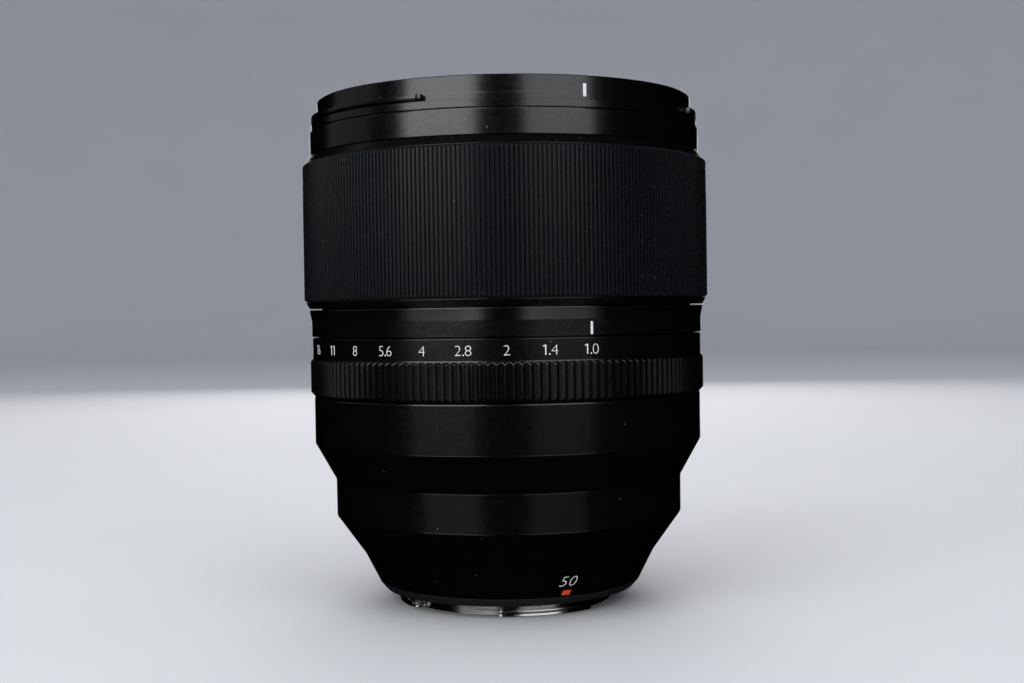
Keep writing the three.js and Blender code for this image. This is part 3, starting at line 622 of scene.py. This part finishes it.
def build_barrels():
    main = turned("main_barrel_fine", [
        (38, 36.6), (39.3, 36.6), (39.3, 41), (39.8, 41.3), (39.8, 49.2), (38.95, 49.4), (38.95, 53.7),
        (41.98, 53.7), (41.98, 56.87), (42.43, 59.12), (42.36, 59.3), (39.8, 59.3), (39.8, 85.4),
        (38.9, 85.6), (38.9, 91.4), (37.7, 91.4), (37.7, 94.8), (36.4, 94.8), (36.4, 91), (38, 90.8),
    ], fillet=0.12)
    show(main, "lens_body", "satin_black", "main_barrel")
    mark = arc_block("index_mark", 41.9, 42.01, -0.33, 0.33, 53.9, 56.35, bevel=0)
    show(mark, "lens_body", "white_paint")

    rear = turned("rear_barrel_fine", [
        (22.8, 1.3), CONE_LOW, CONE_HIGH, (37.25, 15.4), (37.3, 23.15), (41.65, 31), (41.65, 40.62),
        (41.57, 40.87), (39.6, 40.87), (39.6, 31.6), (35.2, 23.8), (35.2, 16.3), (29.4, 8.3),
        (27.2, 3.4), (22.8, 3.4),
    ], fillet=0.25)
    show(rear, "lens_body", "satin_black", "rear_barrel")
    number = lettering("focal_length", "50", 2.3, 0, on_cone(CONE_LOW, CONE_HIGH, 4.5), slant=0.25)
    show(number, "lens_body", "white_paint")
    spot = on_cone(CONE_LOW, CONE_HIGH, 2.0)
    vertices, faces = prism([(-0.98, -0.58), (0.82, -0.58), (1.05, 0.58), (-0.75, 0.58)])
    vertices = [spot(0, x, y, PAINT_FACE if z > 0 else PAINT_ROOT) for x, y, z in vertices]
    show(new_piece("mount_index_mark", vertices, faces), "lens_body", "orange_paint")


# ------------------------------------------------------------------ control rings

def build_focus_ring():
    ring = turned("focus_ring_fine", [
        (40.2, 59.65), (42.45, 59.65), (43.15, 60.95), (42.5, 60.95), (42.5, 90.1), (43.1, 90.1),
        (41.9, 91.8), (40.2, 91.8),
    ], fillet=0.08)
    show(ring, "focus_ring", "dark_metal", "focus_ring")

    valley = GRIP_RADIUS - GRIP_DEPTH

    def column(height):
        crest = valley + height * GRIP_DEPTH
        slope = height * GRIP_DEPTH
        low, high = GRIP_BOTTOM + slope, GRIP_TOP - slope
        return [
            (GRIP_SEAT, GRIP_BOTTOM), (valley, GRIP_BOTTOM),
            (crest - 0.05, low), (crest, low + 0.1), (crest, low + 0.16),
            (crest, high - 0.2), (crest, high - 0.14), (crest - 0.05, high),
            (valley - 0.05, GRIP_TOP), (GRIP_SEAT, GRIP_TOP),
        ]

    section = [(0.0, 0.03), (0.08, 0.03), (0.13, 0.5), (0.17, 0.93), (0.205, 1.0), (0.40, 1.0),
               (0.58, 1.0), (0.70, 0.955), (0.80, 0.85), (0.88, 0.62), (0.96, 0.03)]
    show(ribbed("focus_grip_ribs", GRIP_RIBS, section, column), "focus_ring", "grip_rubber", "focus_grip")


LOCK_AT = 150
LOCK_LEVEL = 45.5
BAND_RADIUS = 41.87            # of the numbered band
BAND_MIDDLE = 51.1
FIGURE_HEIGHT = 1.93
STOPS = ("1.0", "1.4", "2", "2.8", "4", "5.6", "8", "11", "16")
AUTO_AT = -104                 # the A mark


def lock_block(name, width, height, inner, outer, bevel):
    """A block with round corners whose face points away from the optical axis."""
    corner = height * 0.35
    outline = []
    for side, end, start in ((1, 1, 0), (-1, 1, 90), (-1, -1, 180), (1, -1, 270)):
        for k in range(7):
            a = math.radians(start + 15 * k)
            outline.append((side * (width / 2 - corner) + corner * math.cos(a),
                            end * (height / 2 - corner) + corner * math.sin(a)))
    count = len(outline)
    middle = place(0, LOCK_AT, LOCK_LEVEL)
    out = place(1, LOCK_AT, LOCK_LEVEL) - middle
    across = out.cross(Vector((0, 0, 1)))
    up = Vector((0, 0, MM))
    vertices = [middle + out * depth + across * x + up * y
                for depth in (inner, outer) for x, y in outline]
    faces = [(k, (k + 1) % count, count + (k + 1) % count, count + k) for k in range(count)]
    faces += [tuple(reversed(range(count))), tuple(range(count, 2 * count))]
    piece = new_piece(name, vertices, faces)
    shape = bmesh.new()
    shape.from_mesh(piece.data)
    bmesh.ops.recalc_face_normals(shape, faces=shape.faces)
    shape.to_mesh(piece.data)
    shape.free()
    return bevelled(piece, bevel, 3)


def build_aperture_ring():
    valley = KNURL_RADIUS - KNURL_DEPTH
    foot_radius, foot_level = 41.7, 41.2
    foot_slope = 0.75 / 0.7
    shoulder = 48.9
    rounding = [(0.0, 0.0), (0.012, 0.045), (0.045, 0.085), (0.085, 0.118), (0.14, 0.14)]

    def column(height):
        crest = valley + height * KNURL_DEPTH
        end = shoulder - height * KNURL_DEPTH
        return [
            (40.2, foot_level), (foot_radius, foot_level),
            (valley, foot_level + (valley - foot_radius) * foot_slope),
            (crest, foot_level + (crest - foot_radius) * foot_slope),
            (crest, end - 0.19), (crest, end - 0.13), (crest - 0.045, end), (valley - 0.045, shoulder),
            (BAND_RADIUS, shoulder + 0.25), (BAND_RADIUS, shoulder + 0.31), (BAND_RADIUS, 53.2),
            *((BAND_RADIUS - inward, 53.26 + up) for inward, up in rounding), (40.2, 53.4),
        ]

    section = [(0.0, 0.03), (0.14, 0.03), (0.43, 0.92), (0.47, 0.985), (0.5, 1.0), (0.53, 0.985),
               (0.57, 0.92), (0.86, 0.03)]
    ring = ribbed("aperture_ring_knurl", KNURL_RIBS, section, column)
    cut_from(ring, lock_block("pocket", 5.6, 4.0, 39, 44, 0))
    show(ring, "aperture_ring", "satin_black", "aperture_ring")
    button = lock_block("lock_button", 5.0, 3.4, 40.75, 42.84, 0.25)
    show(button, "aperture_lock_button", "black_plastic", "aperture_lock_button")
    marks = [(stop, -k * STOP_STEP) for k, stop in enumerate(STOPS)] + [("A", AUTO_AT)]
    for k, (mark, at) in enumerate(marks):
        figure = lettering(f"stop_{k}", mark, FIGURE_HEIGHT, at, on_cylinder(BAND_RADIUS, BAND_MIDDLE))
        show(figure, "aperture_ring", "white_paint")


# ------------------------------------------------------------------ mount

THROAT_RADIUS = 22
CONTACTS = 10
CONTACT_RADIUS = 18.7
FIRST_CONTACT = 154            # degrees from the index marks
CONTACT_STEP = 5.8
SCREW_AT = (45, 135, 225, 315)
SCREW_RADIUS = 24.3
MOUNT_LUGS = ((-28.4, 21), (-123, -78.5), (80, 126))


def screw(name, angle):
    """A cross-head screw, its head down."""
    head = post("head", 1.45, angle, SCREW_RADIUS, 0.05, 0.5, 40, 0.12)
    shank = post("shank", 0.7, angle, SCREW_RADIUS, 0.45, 3.2, 20, 0)
    slots = []
    sole = ((-0.85, -0.17), (0.85, -0.17), (0.85, 0.17), (-0.85, 0.17))
    corners = [(x, y, z) for z in (-0.4, 0.25) for x, y in sole]
    faces = [(3, 2, 1, 0), (4, 5, 6, 7), (0, 1, 5, 4), (1, 2, 6, 5), (2, 3, 7, 6), (3, 0, 4, 7)]
    middle = Matrix.Translation(place(SCREW_RADIUS, angle, 0))
    for turn in (20, 110):
        slot = new_piece("slot", corners, faces)
        slot.data.transform(middle @ Matrix.Rotation(math.radians(angle + turn), 4, "Z")
                            @ Matrix.Diagonal((MM, MM, MM, 1)))
        slots.append(slot)
    cut_from(head, *slots)
    return crease(joined(name, [head, shank]))


def build_mount():
    flange = turned("mount_flange_fine", [
        (20.6, -FLANGE_HEIGHT), (THROAT_RADIUS, -FLANGE_HEIGHT), (THROAT_RADIUS, -0.25),
        (22.3, 0), (26.5, 0), (26.5, 1.15), (20.6, 1.15),
    ], fillet=0.12)
    seats = [post("seat", 1.75, at, SCREW_RADIUS, -1, 0.6, 32, 0) for at in SCREW_AT]
    lock_slot = arc_block("lock_slot", 22.6, 25, 56, 64, -1, 0.8, bevel=0)
    cut_from(flange, *seats, lock_slot)
    lugs = [arc_block("lug", 21.5, 24, first, last, -FLANGE_HEIGHT, -2.1, bevel=0.15)
            for first, last in MOUNT_LUGS]
    cut_from(lugs[1], arc_block("slit", 22.3, 25, -82.3, -80.1, -4, -2, bevel=0))
    mount = crease(joined("bayonet", [flange, *lugs]), 30)
    show(mount, "lens_body", "mount_metal", "bayonet_mount")
    for k, at in enumerate(SCREW_AT, 1):
        show(screw(f"mount_screw_fine_{k}", at), "lens_body", "steel", f"mount_screw_{k}")
    seal = turned("mount_seal_fine", [(26.7, -0.55), (26.95, -0.55), (28.35, 1.05), (26.7, 1.15)],
                  fillet=0.08)
    show(seal, "lens_body", "seal_rubber", "mount_seal")

    shroud = turned("rear_shroud_fine", [
        (16.9, -2.6), (20.3, -2.6), (20.3, 0.9), (18.75, 0.9), (18.75, -1.5), (16.9, -2.1),
    ], steps=SMALL_STEPS)
    cut_from(shroud, arc_block("gap", 16, 21, 144, 216, -4, 2, bevel=0, step=6))
    show(shroud, "lens_body", "black_plastic", "rear_shroud")
    block = joined("contacts_block", [
        arc_block("wall", 18.8, 20.2, 145, 215, -3, 0.9),
        arc_block("face", 17.2, 19.2, 145, 215, -3, -1.6),
    ])
    show(crease(block), "lens_body", "black_plastic", "contact_block")
    for k in range(CONTACTS):
        at = FIRST_CONTACT + k * CONTACT_STEP
        pin = post(f"contact_{k + 1}", 0.7, at, CONTACT_RADIUS, -3.08, -2.5, 24, 0.15)
        show(pin, "lens_body", "gold")


# ------------------------------------------------------------------ optics and iris

# Height of the front vertex, centre thickness, radii of curvature (positive bulges forward),
# rim radius, and the clear radius of a deeply hollowed rear.
ELEMENTS = (
    (95.8, 9.0, 75, 400, 31.5, 31.5), (86.2, 8.6, 52, 120, 28.5, 28.5),
    (76.9, 9.5, 62, -200, 25.5, 25.5), (67.3, 2.2, -200, 34, 25.5, 22.5),
    (39.5, 1.8, -42, 60, 20, 20), (37.6, 9.0, 60, -48, 20, 20),
    (28.0, 6.5, 50, -300, 19.5, 19.5), (20.2, 1.8, -150, 42, 18.5, 18.5),
    (13.0, 5.4, 60, -90, 17.5, 17.5), (7.5, 1.4, -90, 80, 17.5, 17.5),
    (4.7, 3.0, 200, -120, 17, 17), (0.2, 1.2, -60, -200, 16.5, 16.5),
)


def sag(radius, curvature):
    bulge = abs(curvature)
    return math.copysign(bulge - math.sqrt(bulge * bulge - radius * radius), curvature)


def build_elements():
    arc = [k / 14 for k in range(15)]
    for number, (front, thick, r1, r2, rim, clear) in enumerate(ELEMENTS, 1):
        outline = [(t * clear, front - thick - sag(t * clear, r2)) for t in arc]
        if clear < rim:
            outline.append((rim, outline[-1][1]))
        outline += [(t * rim, front - sag(t * rim, r1)) for t in reversed(arc)]
        body = "focus_carriage" if 5 <= number <= 8 else "lens_body"
        node = f"lens_element_{number:02d}"
        show(turned(f"{node}_fine", outline, fillet=0.06, steps=SMALL_STEPS), body, "glass", node)


def build_cells():
    cell = turned("front_cell_fine", [
        (22.8, 55.85), (27.8, 55.85), (27.8, 72.5), (30.8, 72.5), (30.8, 83), (37.7, 83), (37.7, 84.6),
        (33.8, 84.6), (33.8, 91), (31.65, 91), (31.65, 85.4), (28.65, 85.4), (28.65, 74.05),
        (25.65, 74.05), (25.65, 56.45), (22.8, 56.45),
    ], fillet=0.08, steps=SMALL_STEPS)
    show(cell, "lens_body", "inner_black", "front_cell")
    retainer = turned("retaining_ring_fine", [(30.2, 89.65), (31.5, 89.1), (31.5, 91), (30.6, 91)],
                      fillet=0.06, steps=SMALL_STEPS)
    show(retainer, "lens_body", "inner_black", "front_retaining_ring")
    rear = turned("rear_cell_fine", [
        (15.6, -1.2), (18.4, -1.2), (18.4, 1.2), (20.15, 1.2), (20.15, 9.5), (22.2, 9.5),
        (22.2, 11), (20.15, 11), (20.15, 13.3), (17.7, 13.3), (17.7, 4.05), (17.2, 4.05),
        (17.2, 2.8), (16.7, 2.8), (16.7, -0.45), (15.6, -0.45),
    ], fillet=0.08, steps=SMALL_STEPS)
    show(rear, "lens_body", "inner_black", "rear_cell")


STOP_RADIUS = 18
PIVOT_RADIUS = 28.6
PIN_RADIUS = 0.5
BLADE_ARM = 3.4
BLADE_TURN = 34.5              # degrees from open to closed
BLADE_FLOOR = 51.45
BLADE_PITCH = 0.28             # from one blade's level to the next
BLADE_THICK = 0.15


def build_iris():
    half = math.radians(BLADE_TURN / 2)
    pin_x, pin_y = PIVOT_RADIUS + BLADE_ARM * math.cos(half), -BLADE_ARM * math.sin(half)
    pin_radius, pin_angle = math.hypot(pin_x, pin_y), math.degrees(math.atan2(pin_y, pin_x))
    for k in range(BLADES):
        at = k * 360 / BLADES
        bottom = BLADE_FLOOR + k * BLADE_PITCH
        top = bottom + BLADE_THICK
        leaf = arc_block("leaf", STOP_RADIUS + 0.2, 27.4, at - 8, at + 100, bottom, top,
                         bevel=0.03, step=2)
        ear = arc_block("ear", 27.0, 33, at - 4.4, at + 3, bottom, top, bevel=0.03, step=2)
        pivot = post("pivot", PIN_RADIUS, at, PIVOT_RADIUS, 50.7, bottom + 0.07, 20, 0)
        drive = post("drive", PIN_RADIUS, at + pin_angle, pin_radius, bottom + 0.07, 54.85, 20, 0)
        blade = crease(joined(f"iris_leaf_{k + 1}", [leaf, ear, pivot, drive]))
        show(blade, f"iris_blade_{k + 1}", "blade_steel", f"iris_blade_{k + 1}")
    cover = turned("iris_cover_fine", [(19, 55.15), (37.4, 55.15), (37.4, 55.65), (19, 55.65)],
                   fillet=0.06, steps=SMALL_STEPS)
    show(cover, "lens_body", "inner_black", "iris_cover")


# ------------------------------------------------------------------ what stays as it is in CAD

KEPT = {
    "steel": ("click_ball", "click_spring", "focus_motor", "iris_motor"),
    "inner_black": ("guide_tube", "focus_carriage", "iris_base"),
    "brass": ("aperture_code_strip", "aperture_brush", "cam_ring", "focus_pinion", "iris_drive_ring",
              "iris_pinion"),
    "black_plastic": ("focus_sensor", "focus_comb"),
    "gear_plastic": ("lay_gear",),
    "board": ("main_board",),
}


def finish_kept_nodes():
    for slot, names in KEPT.items():
        for name in names:
            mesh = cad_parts[name].data
            mesh.materials.clear()
            mesh.materials.append(FINISH[slot])


# ------------------------------------------------------------------ stage, lights and camera

STAGE_RADIUS = 3.0             # metres
STAGE_BEND = 1.2
STAGE_WALL = 2.6
STAGE_SIDES = 96


def build_stage():
    """A pale floor whose edge sweeps up into a wall all round. It doesn't show in reflections or
    in the glass, which keeps the black finish black and the glass clear."""
    s = Shader("pale_floor", Metallic=0.0, Specular_IOR_Level=0.2, Roughness=0.75)
    s.link(s.blend(s.noise(6, 3), (0.66, 0.66, 0.66), (0.70, 0.70, 0.70)), s.surface.inputs["Base Color"])
    flat = STAGE_RADIUS - STAGE_BEND
    outline = [(0.0, 0.0), (flat, 0.0)]
    for k in range(1, 13):
        a = math.radians(7.5 * k)
        outline.append((flat + STAGE_BEND * math.sin(a), STAGE_BEND * (1 - math.cos(a))))
    outline.append((STAGE_RADIUS, STAGE_WALL))
    turns = [2 * math.pi * k / STAGE_SIDES for k in range(STAGE_SIDES)]
    corners = [(r * math.cos(a), r * math.sin(a), z) for r, z in outline for a in turns]
    faces = []
    for j in range(len(outline) - 1):
        low, high = j * STAGE_SIDES, (j + 1) * STAGE_SIDES
        for k in range(STAGE_SIDES):
            after = (k + 1) % STAGE_SIDES
            faces.append((low + k, low + after, high + after, high + k))
    floor = new_piece("floor", corners, faces)
    floor.data.shade_smooth()
    floor.visible_glossy = False
    floor.visible_transmission = False
    floor.data.materials.append(s.material)


CAMERA_ANGLE = -22.85          # degrees from the index marks
CAMERA_DISTANCE = 0.3091       # metres from the optical axis
CAMERA_HEIGHT = 0.06138
CAMERA_DOWN = 1.14             # degrees
CAMERA_ROLL = -0.836
CAMERA_YAW = -0.215            # the optical axis is a little left of the middle
FOCAL_LENGTH = 49.79


def around(angle, distance, height):
    """A point seen at an angle from the index marks, in metres."""
    a = INDEX_ANGLE + math.radians(angle)
    return Vector((distance * math.cos(a), distance * math.sin(a), height))


def build_camera():
    data = bpy.data.cameras.new("camera")
    data.lens = FOCAL_LENGTH
    data.sensor_width = 36
    data.clip_start = 0.01
    camera = bpy.data.objects.new("camera", data)
    bpy.context.scene.collection.objects.link(camera)
    facing = Matrix.Rotation(math.radians(CAMERA_ANGLE + CAMERA_YAW), 4, "Z")
    tilt = Matrix.Rotation(math.radians(90 - CAMERA_DOWN), 4, "X")
    roll = Matrix.Rotation(math.radians(CAMERA_ROLL), 4, "Z")
    where = Matrix.Translation(around(CAMERA_ANGLE, CAMERA_DISTANCE, CAMERA_HEIGHT))
    camera.matrix_world = where @ facing @ tilt @ roll
    bpy.context.scene.camera = camera


LAMP_DISTANCE = 0.72           # metres from the optical axis
LEFT_LAMP, RIGHT_LAMP = -36.5, 31    # degrees from the camera
DAYLIGHT = (0.93, 0.97, 1.0)
COOL_DAYLIGHT = (0.93, 0.96, 1.0)
MIRRORED = (0.97, 0.98, 1.0)
WHITE = (1.0, 1.0, 1.0)


def soft_box(name, angle, distance, height, width, tall, power, tint, aim=0.06):
    """A rectangular lamp, width by tall, that faces the height aim on the optical axis. angle is
    from the camera, positive to its right. Lengths are in metres and power is in watts."""
    data = bpy.data.lights.new(name, "AREA")
    data.shape = "RECTANGLE"
    data.size = width
    data.size_y = tall
    data.energy = power
    data.color = tint
    lamp = bpy.data.objects.new(name, data)
    bpy.context.scene.collection.objects.link(lamp)
    where = around(CAMERA_ANGLE + angle, distance, height)
    toward = Vector((0, 0, aim)) - where
    lamp.matrix_world = Matrix.Translation(where) @ toward.to_track_quat("-Z", "Y").to_matrix().to_4x4()
    lamp.visible_camera = False
    return lamp


def build_lights():
    soft_box("left_box", LEFT_LAMP, LAMP_DISTANCE, 0.50, 0.60, 0.75, 3.4, DAYLIGHT, 0.35)
    soft_box("right_box", RIGHT_LAMP, LAMP_DISTANCE, 0.50, 0.56, 0.75, 1.75, COOL_DAYLIGHT, 0.35)
    # Dim strips below the boxes, which give the low bands of the lens two highlights with a gap.
    soft_box("left_skirt", LEFT_LAMP, LAMP_DISTANCE, -0.005, 0.46, 0.25, 0.041, DAYLIGHT, 0.0)
    soft_box("right_skirt", RIGHT_LAMP, LAMP_DISTANCE, -0.005, 0.44, 0.25, 0.028, COOL_DAYLIGHT, 0.0)
    # Below the floor, where a glossy table would mirror the boxes. Only reflections see them.
    soft_box("left_glow", LEFT_LAMP, LAMP_DISTANCE, -0.40, 0.60, 0.35, 0.95, MIRRORED, -0.3)
    soft_box("right_glow", RIGHT_LAMP, LAMP_DISTANCE, -0.40, 0.56, 0.35, 0.7, MIRRORED, -0.3)
    soft_box("far_left", -100, 0.9, 0.55, 0.7, 0.8, 0.25, (1.0, 0.94, 0.86), 0.35)
    soft_box("back_box", 180, 0.8, 0.5, 0.55, 0.7, 3.0, WHITE, 0.3)
    fill = soft_box("top", 0, 0.25, 1.5, 1.6, 1.6, 10.0, WHITE)
    fill.visible_glossy = False
    fill.visible_transmission = False
    world = bpy.data.worlds.new("world")
    world.use_nodes = True
    background = world.node_tree.nodes["Background"]
    background.inputs["Color"].default_value = (0.8, 0.85, 1.0, 1)
    background.inputs["Strength"].default_value = 0.5
    world.cycles_visibility.glossy = False
    world.cycles_visibility.transmission = False
    bpy.context.scene.world = world
    bpy.context.scene.view_settings.view_transform = "Standard"


build_camera()
build_front()
build_barrels()
build_focus_ring()
build_aperture_ring()
build_mount()
build_elements()
build_cells()
build_iris()
finish_kept_nodes()
build_stage()
build_lights()
